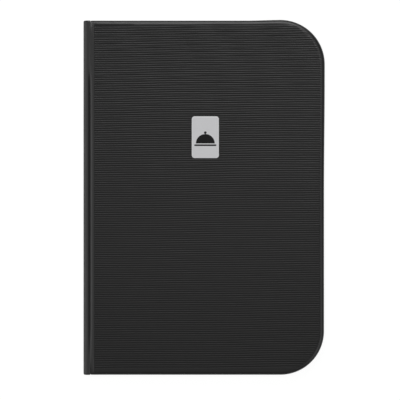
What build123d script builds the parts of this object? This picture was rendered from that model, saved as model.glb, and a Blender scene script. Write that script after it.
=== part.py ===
"""Menu cover for A4 sheets: two padded, rib-embossed covers on a soft spine, with one double insert.

The closed cover lies on its back. X runs from the spine (-X) to the fore edge (+X), Y from foot to
head, and Z up through the thickness. The origin is the middle of the back cover's outer face.
All sizes are in millimetres. A depth is measured inwards from the front cover's outer face. The
front cover's pieces are modelled first, and the back cover's are their mirror images.
"""

import os

from build123d import *

# Overall size
cover_height = 340.0  # head to foot, along Y
cover_width = 231.0  # spine to fore edge, along X
spine_gap = 5.4  # clear space between the two closed covers, which holds the insert
corner_radius = 42.0  # the two large corners at the fore edge
spine_corner_radius = 2.0  # head and foot corners of the spine

# Layers of one cover, from the outside in
skin_thickness = 0.8  # leatherette
padding_thickness = 1.0  # foam sheet
board_thickness = 1.5  # grey board
turn_in_thickness = 0.4  # leatherette skived thin where it folds over the board
lining_thickness = 0.3
turn_in_width = 14.0  # how far the leatherette runs over the inner face
lining_margin = 5.0  # bare turn-in that shows round the lining
rim_radius = 2.8  # rolled outer edge
inner_edge_radius = 0.6  # fold where the leatherette turns in
padding_wrap = 0.4  # foam that is pressed round the edge of the board
padding_bevel = 1.0  # on the padding's outer edge, under the rolled rim
glue_gap = 0.05  # between nested pieces

# Ribbed field embossed in the leatherette
rib_pitch = 2.125
groove_width = 1.1
groove_depth = 0.3
rim_width = 3.2  # smooth band between the field and the fore, head and foot edges
field_start = 11.6  # distance from the spine where the ribs begin

# Name plate, set into the front cover
plate_width = 26.0
plate_height = 40.0
plate_thickness = 0.6
plate_corner_radius = 2.7
plate_bevel_width = 1.2
plate_bevel_depth = 0.1
plate_from_spine = 117.0  # centre of the plate
plate_from_head = 112.0
recess_depth = 0.45
recess_gap = 0.35
adhesive_thickness = 0.15
adhesive_margin = 1.0

# Spine wall and the two flexible joints beside it
spine_board_thickness = 2.0
spine_lining_thickness = 0.4
shoulder_radius = 3.6  # where the joint rolls over from the spine to the cover's face
groove_start = 4.7  # distance from the spine to the near wall of the joint groove
joint_groove_depth = 2.5
groove_lip_radius = 0.15  # inside the fold at the groove's lip
least_flat = 0.05  # level face that is left between the shoulder and the groove's lip
groove_foot_radius = 0.3
cover_start = 6.6  # distance from the spine where the stiff covers begin
inner_hinge_thickness = 0.3
inner_hinge_fold = 0.75
inner_hinge_foot = 0.3  # straight stretch on the spine wall

# Elastic cord that holds the insert, and its fastening in the spine
cord_radius = 1.0
cord_from_spine = 5.4
cord_reach = 8.5  # from the end of the insert to the eyelet
cord_bend = 2.0
cord_clearance = 0.05
eyelet_flange_radius = 2.1
eyelet_flange_thickness = 0.35
eyelet_wall = 0.3
eyelet_barrel = 0.6
anchor_length = 10.0
anchor_width = 3.2
anchor_thickness = 0.6
collar_wall = 0.5
anchor_clearance = 0.1

# Double insert: two clear pockets on one folded strip
insert_margin = 18.5  # from the head and foot edges of the covers
insert_fore_margin = 7.1
insert_corner_radius = 4.0
film_thickness = 0.2
pocket_gap = 0.4  # room for the sheets
seam_width = 2.5
seam_break = 0.1
leaf_start = 1.5  # from the cord's axis to the edge of a leaf
fold_strip_thickness = 0.2
fold_strip_lap = 3.0  # width of the strip that is welded on a leaf

# Places across the cover, from the spine to the fore edge
spine_x = -cover_width / 2
board_x = spine_x + skin_thickness
wall_x = board_x + spine_board_thickness
joint_end_x = spine_x + cover_start
groove_x = spine_x + groove_start
shoulder_room = groove_start - groove_lip_radius - skin_thickness - least_flat
shoulder = min(shoulder_radius, shoulder_room)
lining_x = joint_end_x + lining_margin
cord_x = spine_x + cord_from_spine
leaf_x = cord_x + leaf_start

# Places through the thickness
padding_depth = skin_thickness + padding_thickness
board_depth = padding_depth + board_thickness
turn_in_depth = board_depth + turn_in_thickness
cover_thickness = turn_in_depth + lining_thickness
closed_thickness = 2 * cover_thickness + spine_gap
middle_z = closed_thickness / 2
wall_top = closed_thickness - cover_thickness
joint_floor = closed_thickness - joint_groove_depth
hinge_top = closed_thickness - turn_in_depth
hinge_foot_z = hinge_top - inner_hinge_fold - inner_hinge_foot
leaf_thickness = 2 * film_thickness + pocket_gap
leaf_outside = cord_radius + cord_clearance  # height of a leaf's outer face over the cord's axis
leaf_inside = leaf_outside - leaf_thickness

# Lengths
lining_height = cover_height - 2 * lining_margin
insert_height = cover_height - 2 * insert_margin
insert_width = cover_width - insert_fore_margin - cord_from_spine - leaf_start
cord_half_span = insert_height / 2 + cord_reach
collar_radius = cord_radius + cord_clearance + collar_wall
collar_length = spine_board_thickness - anchor_thickness - eyelet_barrel + spine_lining_thickness
eyelet_radius = cord_radius + cord_clearance + eyelet_wall

# Planes, and the two points where the cord enters the spine
mid_plane = Plane.XY.offset(middle_z)
spine_face = Plane.YZ.offset(board_x)
wall_face = Plane.YZ.offset(wall_x)
cord_section = Plane(origin=(cord_x, 0, middle_z), x_dir=(1, 0, 0), z_dir=(0, -1, 0))
cord_ends = [(-cord_half_span, middle_z), (cord_half_span, middle_z)]

os.makedirs("parts", exist_ok=True)


def cover_outline(depth, inset):
    """Outline of a stiff cover: square at the spine side, with two large corners at the fore edge."""
    left = joint_end_x + inset
    right = -spine_x - inset
    top = cover_height / 2 - inset
    radius = corner_radius - inset
    with BuildSketch(Plane.XY.offset(closed_thickness - depth)) as outline:
        with BuildLine():
            Polyline((right - radius, -top), (left, -top), (left, top), (right - radius, top))
            RadiusArc((right - radius, top), (right, top - radius), radius)
            Line((right, top - radius), (right, radius - top))
            RadiusArc((right, radius - top), (right - radius, -top), radius)
        make_face()
    return outline.sketch


def closed_outline():
    """Outline of the whole closed cover seen from above, with its small spine corners."""
    with BuildSketch() as outline:
        Rectangle(cover_width, cover_height)
        fillet(outline.vertices().group_by(Axis.X)[-1], corner_radius)
        fillet(outline.vertices().group_by(Axis.X)[0], spine_corner_radius)
    return outline.sketch


def plate_outline(depth, margin):
    """Outline of the name plate, larger or smaller by a margin all round."""
    with BuildSketch(Plane.XY.offset(closed_thickness - depth)) as outline:
        with Locations((spine_x + plate_from_spine, cover_height / 2 - plate_from_head)):
            RectangleRounded(
                plate_width + 2 * margin, plate_height + 2 * margin, plate_corner_radius + margin
            )
    return outline.sketch


def leaf_outline(height):
    """Outline of one leaf of the insert, at a height over the cord's axis."""
    with BuildSketch(Plane.XY.offset(middle_z + height)) as outline:
        with Locations((leaf_x, 0)):
            Rectangle(insert_width, insert_height, align=(Align.MIN, Align.CENTER))
        fillet(outline.vertices(), insert_corner_radius)
    return outline.sketch


def strip_section(left, top, end_z, radii):
    """Section under one face of the joint strip, from the spine to the stiff cover."""
    groove_side = groove_x - (closed_thickness - top)
    with BuildSketch(Plane.XZ) as section:
        with BuildLine():
            face = FilletPolyline(
                (left, wall_top),
                (left, top),
                (groove_side, top),
                (groove_side, end_z),
                (joint_end_x, end_z),
                radius=radii,
            )
            Polyline(face @ 1, (joint_end_x, wall_top), face @ 0)
        make_face()
    return section.sketch


# Ribbed field: straight V grooves across the cover, trimmed to the rounded field
field_height = cover_height - 2 * rim_width
groove_count = int((field_height - groove_width) / rib_pitch) + 1
with BuildPart() as grooves:
    with BuildSketch(Plane.YZ.offset(spine_x + field_start)):
        with Locations((0, closed_thickness)):
            with GridLocations(rib_pitch, 0, groove_count, 1):
                Polygon(
                    (-groove_width / 2, 0),
                    (0, -groove_depth),
                    (groove_width / 2, 0),
                    align=(Align.CENTER, Align.MAX),
                )
    extrude(amount=cover_width)
    extrude(cover_outline(2 * groove_depth, rim_width), amount=3 * groove_depth, mode=Mode.INTERSECT)

# Leatherette of one cover: a shallow tray with a rolled rim, turned in over the board
with BuildPart() as plain_skin:
    extrude(cover_outline(turn_in_depth, 0), amount=turn_in_depth)
    fillet(plain_skin.faces().sort_by(Axis.Z)[-1].edges(), rim_radius)
    fillet(plain_skin.faces().sort_by(Axis.Z)[0].edges(), inner_edge_radius)
    with BuildPart(mode=Mode.PRIVATE) as cavity:
        extrude(cover_outline(board_depth, skin_thickness), amount=board_depth - skin_thickness)
        chamfer(cavity.faces().sort_by(Axis.Z)[-1].edges(), padding_bevel)
    add(cavity.part, mode=Mode.SUBTRACT)
    extrude(
        cover_outline(turn_in_depth, skin_thickness + turn_in_width),
        amount=turn_in_thickness,
        mode=Mode.SUBTRACT,
    )
    add(grooves.part, mode=Mode.SUBTRACT)

# The front cover's leatherette has a shallow recess for the name plate
with BuildPart() as front_skin:
    add(plain_skin.part)
    extrude(plate_outline(recess_depth, recess_gap), amount=recess_depth, mode=Mode.SUBTRACT)
front_skin.part.label = "front_skin"
export_step(front_skin.part, "parts/front_skin.step")

# Foam padding, which wraps the edge of the board
with BuildPart() as front_padding:
    extrude(
        cover_outline(board_depth, skin_thickness + glue_gap), amount=board_depth - skin_thickness
    )
    chamfer(front_padding.faces().sort_by(Axis.Z)[-1].edges(), padding_bevel + glue_gap)
    extrude(
        cover_outline(board_depth, skin_thickness + padding_wrap),
        amount=board_thickness,
        mode=Mode.SUBTRACT,
    )
front_padding.part.label = "front_padding"
export_step(front_padding.part, "parts/front_padding.step")

# Stiff board
with BuildPart() as front_board:
    extrude(
        cover_outline(board_depth, skin_thickness + padding_wrap + glue_gap),
        amount=board_thickness,
    )
front_board.part.label = "front_board"
export_step(front_board.part, "parts/front_board.step")

# Lining sheet, which covers the turn-ins and fills the space between them
with BuildPart() as front_lining:
    extrude(cover_outline(cover_thickness, lining_margin), amount=lining_thickness)
    extrude(
        cover_outline(turn_in_depth, skin_thickness + turn_in_width + glue_gap),
        amount=turn_in_thickness,
    )
front_lining.part.label = "front_lining"
export_step(front_lining.part, "parts/front_lining.step")

# The back cover has the same layers, without the recess
with BuildPart() as back_skin:
    mirror(plain_skin.part, about=mid_plane)
back_skin.part.label = "back_skin"
export_step(back_skin.part, "parts/back_skin.step")

with BuildPart() as back_padding:
    mirror(front_padding.part, about=mid_plane)
back_padding.part.label = "back_padding"
export_step(back_padding.part, "parts/back_padding.step")

with BuildPart() as back_board:
    mirror(front_board.part, about=mid_plane)
back_board.part.label = "back_board"
export_step(back_board.part, "parts/back_board.step")

with BuildPart() as back_lining:
    mirror(front_lining.part, about=mid_plane)
back_lining.part.label = "back_lining"
export_step(back_lining.part, "parts/back_lining.step")

# Name plate with a shallow bevel, and the tape under it
plate_bottom = recess_depth - adhesive_thickness
with BuildPart() as nameplate:
    extrude(plate_outline(plate_bottom, 0), amount=plate_thickness)
    plate_top = nameplate.faces().sort_by(Axis.Z)[-1]
    chamfer(
        plate_top.edges(), length=plate_bevel_width, length2=plate_bevel_depth, reference=plate_top
    )
nameplate.part.label = "nameplate"
export_step(nameplate.part, "parts/nameplate.step")

with BuildPart() as nameplate_adhesive:
    extrude(plate_outline(recess_depth, -adhesive_margin), amount=adhesive_thickness)
nameplate_adhesive.part.label = "nameplate_adhesive"
export_step(nameplate_adhesive.part, "parts/nameplate_adhesive.step")

# Leatherette of the spine wall, turned in round both ends of its board
with BuildPart() as spine_skin:
    with BuildSketch(Plane.XY.offset(cover_thickness)):
        with Locations((spine_x, 0)):
            Rectangle(
                wall_x - spine_x + spine_lining_thickness,
                cover_height,
                align=(Align.MIN, Align.CENTER),
            )
        with Locations((board_x, 0)):
            Rectangle(
                spine_board_thickness,
                cover_height - 2 * skin_thickness,
                align=(Align.MIN, Align.CENTER),
                mode=Mode.SUBTRACT,
            )
            Rectangle(
                spine_board_thickness + spine_lining_thickness,
                lining_height,
                align=(Align.MIN, Align.CENTER),
                mode=Mode.SUBTRACT,
            )
    extrude(amount=spine_gap)
    extrude(closed_outline(), amount=closed_thickness, mode=Mode.INTERSECT)
spine_skin.part.label = "spine_skin"
export_step(spine_skin.part, "parts/spine_skin.step")

# Spine board, with a pocket and a hole at each end for the cord's anchors
with BuildPart() as spine_board:
    with BuildSketch(spine_face):
        with Locations((0, middle_z)):
            Rectangle(cover_height - 2 * (skin_thickness + glue_gap), spine_gap)
    extrude(amount=spine_board_thickness)
    with BuildSketch(spine_face):
        with Locations(*cord_ends):
            Rectangle(anchor_length + 2 * anchor_clearance, anchor_width + 2 * anchor_clearance)
    extrude(amount=anchor_thickness, mode=Mode.SUBTRACT)
    with BuildSketch(spine_face):
        with Locations(*cord_ends):
            Circle(collar_radius + anchor_clearance)
    extrude(amount=spine_board_thickness, mode=Mode.SUBTRACT)
spine_board.part.label = "spine_board"
export_step(spine_board.part, "parts/spine_board.step")

# Lining of the spine, between the two inner hinges
with BuildPart() as spine_lining:
    with BuildSketch(wall_face):
        with Locations((0, middle_z)):
            Rectangle(lining_height - 2 * glue_gap, 2 * (hinge_foot_z - middle_z - glue_gap))
        with Locations(*cord_ends):
            Circle(eyelet_radius + cord_clearance, mode=Mode.SUBTRACT)
    extrude(amount=spine_lining_thickness)
spine_lining.part.label = "spine_lining"
export_step(spine_lining.part, "parts/spine_lining.step")

# Flexible joint: leatherette that rolls over the spine, dips into the groove and closes both ends
with BuildPart() as front_joint_strip:
    outside = strip_section(
        spine_x,
        closed_thickness,
        joint_floor,
        (shoulder, groove_lip_radius + skin_thickness, groove_foot_radius),
    )
    inside = strip_section(
        board_x,
        closed_thickness - skin_thickness,
        joint_floor - skin_thickness,
        (shoulder - skin_thickness, groove_lip_radius, groove_foot_radius + skin_thickness),
    )
    extrude(outside, amount=cover_height / 2, both=True)
    extrude(inside, amount=cover_height / 2 - skin_thickness, both=True, mode=Mode.SUBTRACT)
    extrude(closed_outline(), amount=closed_thickness, mode=Mode.INTERSECT)
front_joint_strip.part.label = "front_joint_strip"
export_step(front_joint_strip.part, "parts/front_joint_strip.step")

with BuildPart() as back_joint_strip:
    mirror(front_joint_strip.part, about=mid_plane)
back_joint_strip.part.label = "back_joint_strip"
export_step(back_joint_strip.part, "parts/back_joint_strip.step")

# Inner hinge: a thin strip from the spine wall to the edge of the cover's lining
with BuildPart() as front_inner_hinge:
    with BuildSketch(Plane.XZ):
        with BuildLine():
            FilletPolyline(
                (wall_x, hinge_foot_z),
                (wall_x, hinge_top),
                (lining_x - glue_gap, hinge_top),
                radius=inner_hinge_fold,
            )
            offset(amount=inner_hinge_thickness, side=Side.RIGHT)
        make_face()
    extrude(amount=lining_height / 2 - glue_gap, both=True)
front_inner_hinge.part.label = "front_inner_hinge"
export_step(front_inner_hinge.part, "parts/front_inner_hinge.step")

with BuildPart() as back_inner_hinge:
    mirror(front_inner_hinge.part, about=mid_plane)
back_inner_hinge.part.label = "back_inner_hinge"
export_step(back_inner_hinge.part, "parts/back_inner_hinge.step")

# Elastic cord along the fold of the insert, turned into the spine at head and foot
with BuildPart() as elastic_cord:
    with BuildLine(mid_plane) as route:
        FilletPolyline(
            (board_x + anchor_thickness, -cord_half_span),
            (cord_x, -cord_half_span),
            (cord_x, cord_half_span),
            (board_x + anchor_thickness, cord_half_span),
            radius=cord_bend,
        )
    with BuildSketch(Plane(origin=route.line @ 0, z_dir=route.line % 0)):
        Circle(cord_radius)
    sweep()
elastic_cord.part.label = "elastic_cord"
export_step(elastic_cord.part, "parts/elastic_cord.step")

# Anchors: a flat metal bar behind the board, with a collar crimped on the cord's end
with BuildPart() as cord_anchors:
    with BuildSketch(spine_face):
        with Locations(*cord_ends):
            Rectangle(anchor_length, anchor_width)
    extrude(amount=anchor_thickness)
    with BuildSketch(spine_face.offset(anchor_thickness)):
        with Locations(*cord_ends):
            Circle(collar_radius)
            Circle(cord_radius + cord_clearance, mode=Mode.SUBTRACT)
    extrude(amount=collar_length)
cord_anchors.part.label = "cord_anchors"
export_step(cord_anchors.part, "parts/cord_anchors.step")

# Eyelets that line the holes where the cord leaves the spine
flange_face = wall_face.offset(spine_lining_thickness)
with BuildPart() as cord_eyelets:
    with BuildSketch(flange_face):
        with Locations(*cord_ends):
            Circle(eyelet_flange_radius)
    extrude(amount=eyelet_flange_thickness)
    with BuildSketch(flange_face):
        with Locations(*cord_ends):
            Circle(eyelet_radius)
    extrude(amount=-eyelet_barrel)
    with BuildSketch(flange_face.offset(-eyelet_barrel)):
        with Locations(*cord_ends):
            Circle(cord_radius + cord_clearance)
    extrude(amount=eyelet_barrel + eyelet_flange_thickness, mode=Mode.SUBTRACT)
cord_eyelets.part.label = "cord_eyelets"
export_step(cord_eyelets.part, "parts/cord_eyelets.step")

# Folded strip that joins the two leaves round the cord
with BuildPart() as insert_fold_strip:
    with BuildSketch(cord_section):
        with BuildLine():
            lap_end = leaf_start + fold_strip_lap
            Line((lap_end, leaf_outside), (0, leaf_outside))
            ThreePointArc((0, leaf_outside), (-leaf_outside, 0), (0, -leaf_outside))
            Line((0, -leaf_outside), (lap_end, -leaf_outside))
            offset(amount=fold_strip_thickness, side=Side.RIGHT)
        make_face()
    extrude(amount=insert_height / 2, both=True)
insert_fold_strip.part.label = "insert_fold_strip"
export_step(insert_fold_strip.part, "parts/insert_fold_strip.step")

# One clear pocket: two films, welded along the spine, fore and foot sides and open at the head
with BuildPart() as front_leaf_inner_film:
    extrude(leaf_outline(leaf_inside), amount=film_thickness)
front_leaf_inner_film.part.label = "front_leaf_inner_film"
export_step(front_leaf_inner_film.part, "parts/front_leaf_inner_film.step")

with BuildPart() as front_leaf_outer_film:
    extrude(leaf_outline(leaf_outside - film_thickness), amount=film_thickness)
front_leaf_outer_film.part.label = "front_leaf_outer_film"
export_step(front_leaf_outer_film.part, "parts/front_leaf_outer_film.step")

seam_height = leaf_inside + film_thickness
foot_y = -insert_height / 2
with BuildPart() as front_leaf_weld_seams:
    extrude(leaf_outline(seam_height), amount=pocket_gap)
    with BuildSketch(mid_plane.offset(seam_height)):
        with Locations((leaf_x + insert_width / 2, foot_y + seam_width)):
            Rectangle(insert_width - 2 * seam_width, insert_height, align=(Align.CENTER, Align.MIN))
        with Locations((leaf_x + insert_width / 2, foot_y)):
            with GridLocations(insert_width - 2 * seam_width - seam_break, 0, 2, 1):
                Rectangle(seam_break, seam_width, align=(Align.CENTER, Align.MIN))
    extrude(amount=pocket_gap, mode=Mode.SUBTRACT)
front_leaf_weld_seams.part.label = "front_leaf_weld_seams"
export_step(front_leaf_weld_seams.part, "parts/front_leaf_weld_seams.step")

# The other pocket is its mirror image
with BuildPart() as back_leaf_inner_film:
    mirror(front_leaf_inner_film.part, about=mid_plane)
back_leaf_inner_film.part.label = "back_leaf_inner_film"
export_step(back_leaf_inner_film.part, "parts/back_leaf_inner_film.step")

with BuildPart() as back_leaf_outer_film:
    mirror(front_leaf_outer_film.part, about=mid_plane)
back_leaf_outer_film.part.label = "back_leaf_outer_film"
export_step(back_leaf_outer_film.part, "parts/back_leaf_outer_film.step")

with BuildPart() as back_leaf_weld_seams:
    mirror(front_leaf_weld_seams.part, about=mid_plane)
back_leaf_weld_seams.part.label = "back_leaf_weld_seams"
export_step(back_leaf_weld_seams.part, "parts/back_leaf_weld_seams.step")
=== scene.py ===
# %% [markdown]
# # A padded menu cover
# A closed menu cover lies on a pale table: black leatherette pressed into fine straight ribs, a smooth
# rolled rim, a soft spine with a groove beside it, and a small satin plate. Inside are two clear pockets on
# an elastic cord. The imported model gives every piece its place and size, so the script loads it before it
# makes anything.

# %% Load the frame
import math

import bmesh
import bpy
import numpy as np
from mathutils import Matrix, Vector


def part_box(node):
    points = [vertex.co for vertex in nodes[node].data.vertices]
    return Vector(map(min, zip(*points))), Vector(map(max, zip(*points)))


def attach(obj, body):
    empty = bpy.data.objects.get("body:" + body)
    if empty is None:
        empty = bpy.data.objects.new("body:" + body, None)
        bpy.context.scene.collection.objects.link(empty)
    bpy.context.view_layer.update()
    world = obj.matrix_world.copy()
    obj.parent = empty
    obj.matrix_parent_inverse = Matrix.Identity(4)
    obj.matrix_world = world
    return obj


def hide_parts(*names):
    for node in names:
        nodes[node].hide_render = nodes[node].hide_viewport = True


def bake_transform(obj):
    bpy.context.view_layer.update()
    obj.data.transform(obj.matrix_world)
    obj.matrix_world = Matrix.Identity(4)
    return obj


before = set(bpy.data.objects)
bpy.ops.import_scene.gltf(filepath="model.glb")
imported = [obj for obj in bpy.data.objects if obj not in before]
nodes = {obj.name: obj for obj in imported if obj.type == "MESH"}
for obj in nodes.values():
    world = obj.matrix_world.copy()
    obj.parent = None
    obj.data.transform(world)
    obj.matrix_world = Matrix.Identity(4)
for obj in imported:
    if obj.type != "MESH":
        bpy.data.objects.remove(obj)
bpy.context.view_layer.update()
print("nodes in the frame:", len(nodes))

# %% [markdown]
# ## Sizes
# A leather worker thinks in millimetres, so the shapes below are in millimetres too, and one factor turns
# them into Blender's metres when a mesh is made. The outer sizes are read from the frame. The few that a
# box can't give, such as a corner's radius, are written in the step that needs them, with the name they
# have on the object.

# %% Sizes in millimetres
MM = 0.001


def box_mm(node):
    """Lowest and highest corner of a CAD node, in millimetres."""
    low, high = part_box(node)
    return np.array(low) / MM, np.array(high) / MM


skin_low, skin_high = box_mm("front_skin")
spine_low, spine_high = box_mm("spine_skin")
closed_thickness = skin_high[2]
half_height = skin_high[1]
fore_x = skin_high[0]
joint_end_x = skin_low[0]
spine_x = spine_low[0]
wall_top = spine_high[2]
cover_thickness = closed_thickness - wall_top
print("closed cover", fore_x - spine_x, 2 * half_height, closed_thickness, "mm")

# %% [markdown]
# ## Small helpers
# Four helpers carry the script. One turns a hex colour, as a paint chart gives it, into the linear light
# that a shader works with. One adds a shader node with its settings and its links. One starts an empty
# material. One makes an object from points and faces in millimetres.

# %% Colour, node and mesh helpers


def colour(hex_code):
    """Linear RGBA of an sRGB hex colour such as #1c1c1e."""
    channels = [int(hex_code[i : i + 2], 16) / 255 for i in (1, 3, 5)]
    linear = [c / 12.92 if c <= 0.04045 else ((c + 0.055) / 1.055) ** 2.4 for c in channels]
    return (*linear, 1.0)


def add_node(tree, kind, inputs=None, **settings):
    """Adds a shader node of a kind such as Bump. An input is a value or a node's output socket."""
    made = tree.nodes.new("ShaderNode" + kind)
    for name, value in settings.items():
        setattr(made, name, value)
    for name, value in (inputs or {}).items():
        if isinstance(value, bpy.types.NodeSocket):
            tree.links.new(value, made.inputs[name])
        else:
            made.inputs[name].default_value = value
    return made


def new_material(name):
    """An empty node material, with its tree and its output node."""
    material = bpy.data.materials.new(name)
    material.use_nodes = True
    material.node_tree.nodes.clear()
    output = add_node(material.node_tree, "OutputMaterial")
    return material, material.node_tree, output


def mesh_object(name, points, faces, material):
    """A smooth-shaded object from points in millimetres, with its faces turned outwards."""
    mesh = bpy.data.meshes.new(name)
    mesh.from_pydata((np.asarray(points) * MM).tolist(), [], faces)
    work = bmesh.new()
    work.from_mesh(mesh)
    bmesh.ops.remove_doubles(work, verts=work.verts, dist=1e-7)
    bmesh.ops.recalc_face_normals(work, faces=work.faces)
    for face in work.faces:
        face.smooth = True
    work.to_mesh(mesh)
    work.free()
    mesh.materials.append(material)
    made = bpy.data.objects.new(name, mesh)
    bpy.context.scene.collection.objects.link(made)
    return made


print("mid grey in linear light:", round(colour("#808080")[0], 3))

# %% [markdown]
# ## Helpers for shapes
# Most pieces are shells that are built from loops or grids of points, so a few functions join such points
# with quads. Many depths fade out towards an edge. A ramp gives the share of such a fade, either straight
# or eased at both ends. On both covers a depth is measured from the outer face, and one more function turns
# it into a height: down from the top for the front cover, up from the table for the back cover.

# %% Sides, ramps and quads
SIDES = ((False, "front"), (True, "back"))
TINY = 1e-6


def ramp(value, start, end):
    """Share of the way from start to end, from 0 to 1."""
    return np.clip((value - start) / (end - start), 0, 1)


def soft_ramp(value, start, end):
    """Share of the way from start to end, eased at both."""
    share = ramp(value, start, end)
    return share**2 * (3 - 2 * share)


def heights(points, mirrored):
    """Points whose depth is turned into a height, for the front cover or, mirrored, for the back cover."""
    level = points[:, 2] if mirrored else closed_thickness - points[:, 2]
    return np.column_stack((points[:, :2], level))


def grid_faces(at):
    """Quads over a grid of point numbers."""
    corners = (at[:-1, :-1], at[:-1, 1:], at[1:, 1:], at[1:, :-1])
    return np.stack([corner.ravel() for corner in corners], axis=1).tolist()


def grid_border(at):
    """The closed loop of point numbers round a grid."""
    return np.concatenate((at[0, :-1], at[:-1, -1], at[-1, :0:-1], at[:0:-1, 0]))


def band_faces(first, second):
    """Quads between two closed loops of point numbers."""
    return np.stack((first, np.roll(first, -1), np.roll(second, -1), second), axis=1).tolist()


def tube_faces(loops):
    """Quads between closed loops of point numbers, and a face over each end."""
    faces = []
    for here, after in zip(loops, loops[1:]):
        faces += band_faces(here, after)
    return faces + [loops[0].tolist(), loops[-1].tolist()]


print("sides:", [side for mirrored, side in SIDES])

# %% [markdown]
# ## Leatherette
# The cover is PVC-coated cloth, embossed hot between plates. The coating is dense black with a satin skin,
# so the eye sees little colour and a lot of soft reflection. Its grain is a fine pebble, about half a
# millimetre across, and the skin has slow changes in gloss where it was pressed harder. Two noise layers at
# those two sizes give both, in the object's own coordinates, so that the grain is the same size on every
# face. The ribbed plate leaves a fine tooth on the leatherette that the smooth plate doesn't, and that
# traps light, so the ribbed field has its own duller finish.

# %% Leatherette material
black_shades = ("#111111", "#151515")
gloss_patch_mm = 22


def leatherette(name, base, grain_mm, roughness, bump_mm, specular=0.5):
    """PVC leatherette with a pebble grain of a given size."""
    material, tree, output = new_material(name)
    place = add_node(tree, "TexCoord")
    pebble = add_node(
        tree,
        "TexVoronoi",
        {"Vector": place.outputs["Object"], "Scale": 1 / (grain_mm * MM), "Randomness": 0.9},
        feature="SMOOTH_F1",
    )
    soft = add_node(
        tree,
        "TexNoise",
        {
            "Vector": place.outputs["Object"],
            "Scale": 1 / (gloss_patch_mm * MM),
            "Detail": 4.0,
            "Roughness": 0.6,
        },
    )
    gloss = add_node(
        tree,
        "MapRange",
        {
            "Value": soft.outputs["Fac"],
            "From Min": 0.3,
            "From Max": 0.7,
            "To Min": roughness - 0.04,
            "To Max": roughness + 0.05,
        },
    )
    shade = add_node(
        tree,
        "Mix",
        {"Factor": soft.outputs["Fac"], "A": colour(base[0]), "B": colour(base[1])},
        data_type="RGBA",
    )
    bump = add_node(
        tree, "Bump", {"Height": pebble.outputs["Distance"], "Strength": 0.6, "Distance": bump_mm * MM}
    )
    shader = add_node(
        tree,
        "BsdfPrincipled",
        {
            "Base Color": shade.outputs["Result"],
            "Roughness": gloss.outputs["Result"],
            "Normal": bump.outputs["Normal"],
            "IOR": 1.5,
            "Specular IOR Level": specular,
        },
    )
    tree.links.new(shader.outputs["BSDF"], output.inputs["Surface"])
    return material


cover_leatherette = leatherette("black_leatherette", black_shades, 0.5, 0.32, 0.03)
ribbed_leatherette = leatherette("ribbed_leatherette", black_shades, 0.5, 0.38, 0.03, specular=0.285)
lining_leatherette = leatherette("lining_leatherette", ("#1b1b1c", "#202022"), 0.7, 0.6, 0.05)
print("leatherettes, shaded", black_shades)

# %% [markdown]
# ## Foam and grey board
# Foam sheet and grey board are sealed inside the covers, and show only if the cover is cut open. They still
# get the finish of the real stuff: open cells for the foam, and fibres with dark flecks for the board.
# Their relief is a noise that also drives a bump, and the enamel, the clear films and the table top use the
# same pair of nodes.

# %% Foam and board materials


def relief(tree, size_mm, detail, strength, depth_mm):
    """A noise of a given size and the bump that it drives, as two output sockets."""
    place = add_node(tree, "TexCoord")
    noise = add_node(
        tree,
        "TexNoise",
        {"Vector": place.outputs["Object"], "Scale": 1 / (size_mm * MM), "Detail": detail},
    )
    bump = add_node(
        tree, "Bump", {"Height": noise.outputs["Fac"], "Strength": strength, "Distance": depth_mm * MM}
    )
    return noise.outputs["Fac"], bump.outputs["Normal"]


def fibrous(name, base, flecks, grain_mm, roughness):
    """A matte stock with coloured flecks of a given size."""
    material, tree, output = new_material(name)
    fibre, normal = relief(tree, grain_mm, detail=6.0, strength=0.4, depth_mm=0.1)
    shade = add_node(
        tree, "Mix", {"Factor": fibre, "A": colour(base), "B": colour(flecks)}, data_type="RGBA"
    )
    shader = add_node(
        tree,
        "BsdfPrincipled",
        {"Base Color": shade.outputs["Result"], "Roughness": roughness, "Normal": normal},
    )
    tree.links.new(shader.outputs["BSDF"], output.inputs["Surface"])
    return material


foam_sheet = fibrous("polyether_foam", "#5a5a5e", "#3f3f44", 0.8, 0.95)
grey_board = fibrous("grey_board", "#8b857b", "#6f6a62", 1.2, 0.9)
tape = fibrous("mounting_tape", "#e6e6e2", "#d5d5d0", 0.6, 0.6)
print("sealed materials:", foam_sheet.name, grey_board.name, tape.name)

# %% [markdown]
# ## Plate metal
# The plate is stainless sheet with a satin face and a turned-down bevel. Rolled and rubbed steel has fine
# scratches along one direction, which blur the reflection more across them than along them. The bevel was
# cut after the face was rubbed, so it is smoother, and its lighter colour is a painted highlight. The
# surface
# normal tells the two apart: the face looks straight up.

# %% Satin steel material


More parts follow.
